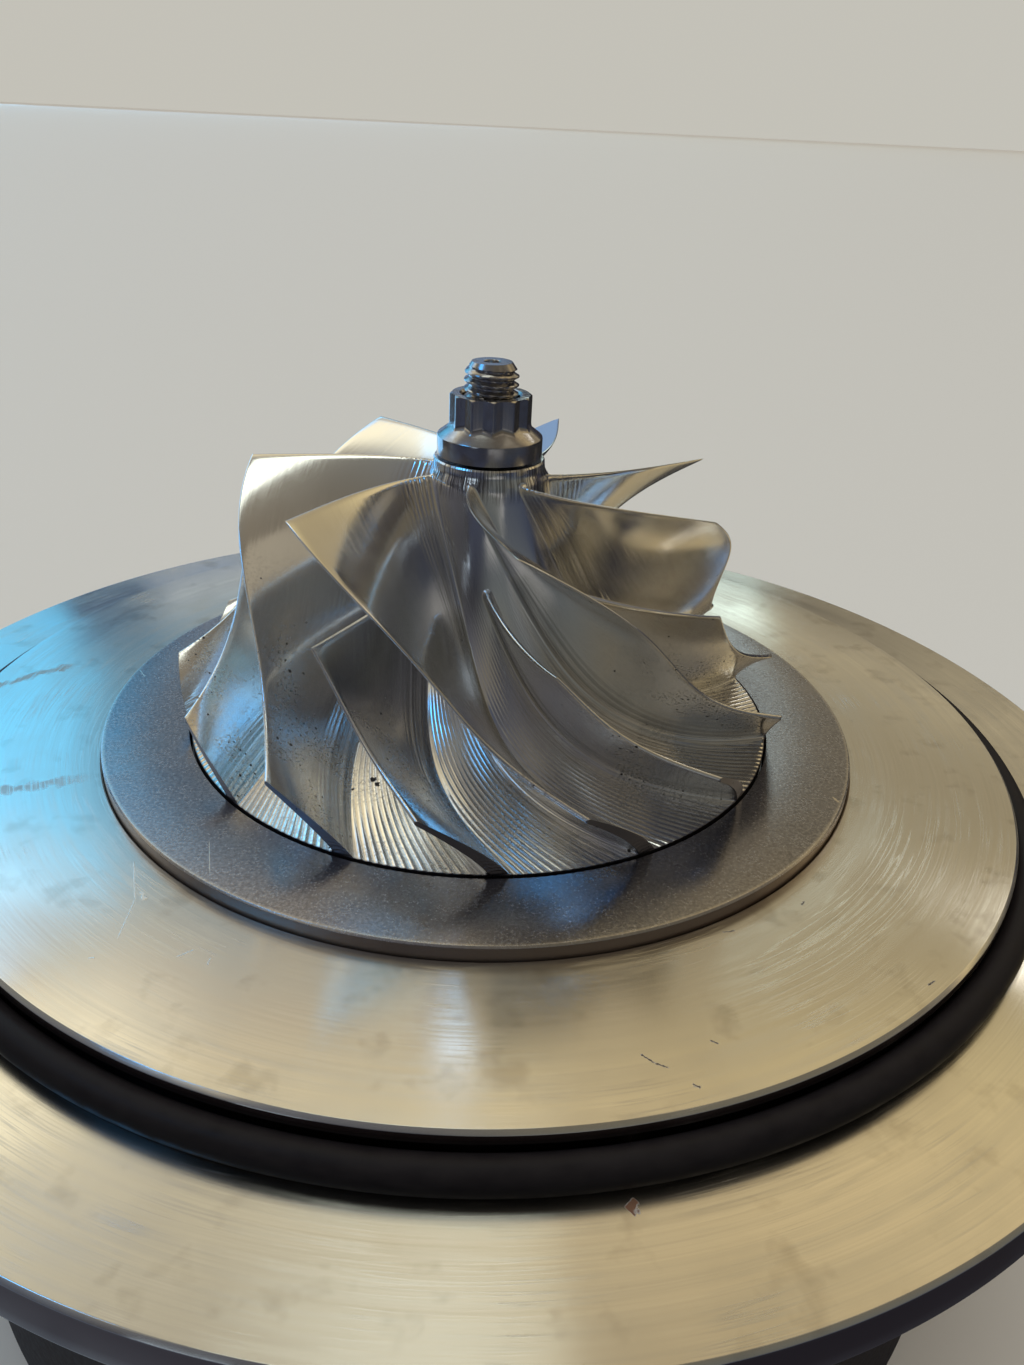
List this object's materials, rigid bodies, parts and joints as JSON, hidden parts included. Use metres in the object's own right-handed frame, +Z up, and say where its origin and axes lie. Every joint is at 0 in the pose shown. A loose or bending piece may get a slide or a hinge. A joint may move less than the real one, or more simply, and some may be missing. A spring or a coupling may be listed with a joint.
{
  "type": "turbocharger compressor wheel on its backplate",
  "caption": "Milled turbocharger compressor wheel with full and splitter blades, turning on its shaft over a seal plate, backplate and bearing housing.",
  "frame": {"origin": "on the floor under the shaft's axis", "axes": "+Z up along the shaft, towards the wheel's nose"},
  "size_m": [0.2094, 0.2094, 0.1407],
  "materials": {
    "wheel_aluminium": "satin milled",
    "turned_aluminium": "fine turned",
    "ground_steel": "dull ground",
    "shaft_steel": "polished dark",
    "ring_rubber": "matte",
    "housing_iron": "rough cast"
  },
  "bodies": {
    "housing": {"bearing_housing": "housing_iron", "backplate": "turned_aluminium", "o_ring": "ring_rubber", "seal_plate": "ground_steel"},
    "rotor": {"wheel_hub": "wheel_aluminium", "rotor_shaft": "shaft_steel", "lock_nut": "shaft_steel", "full_blade_1": "wheel_aluminium", "full_blade_2": "wheel_aluminium", "full_blade_3": "wheel_aluminium", "full_blade_4": "wheel_aluminium", "full_blade_5": "wheel_aluminium", "full_blade_6": "wheel_aluminium", "full_blade_7": "wheel_aluminium", "splitter_blade_1": "wheel_aluminium", "splitter_blade_2": "wheel_aluminium", "splitter_blade_3": "wheel_aluminium", "splitter_blade_4": "wheel_aluminium", "splitter_blade_5": "wheel_aluminium", "splitter_blade_6": "wheel_aluminium", "splitter_blade_7": "wheel_aluminium"}
  },
  "joints": [
    {"name": "rotor_spin", "type": "hinge", "parent": "housing", "child": "rotor", "pos_m": [0, 0, 0.085], "axis": [0, 0, 1], "continuous": true}
  ]
}
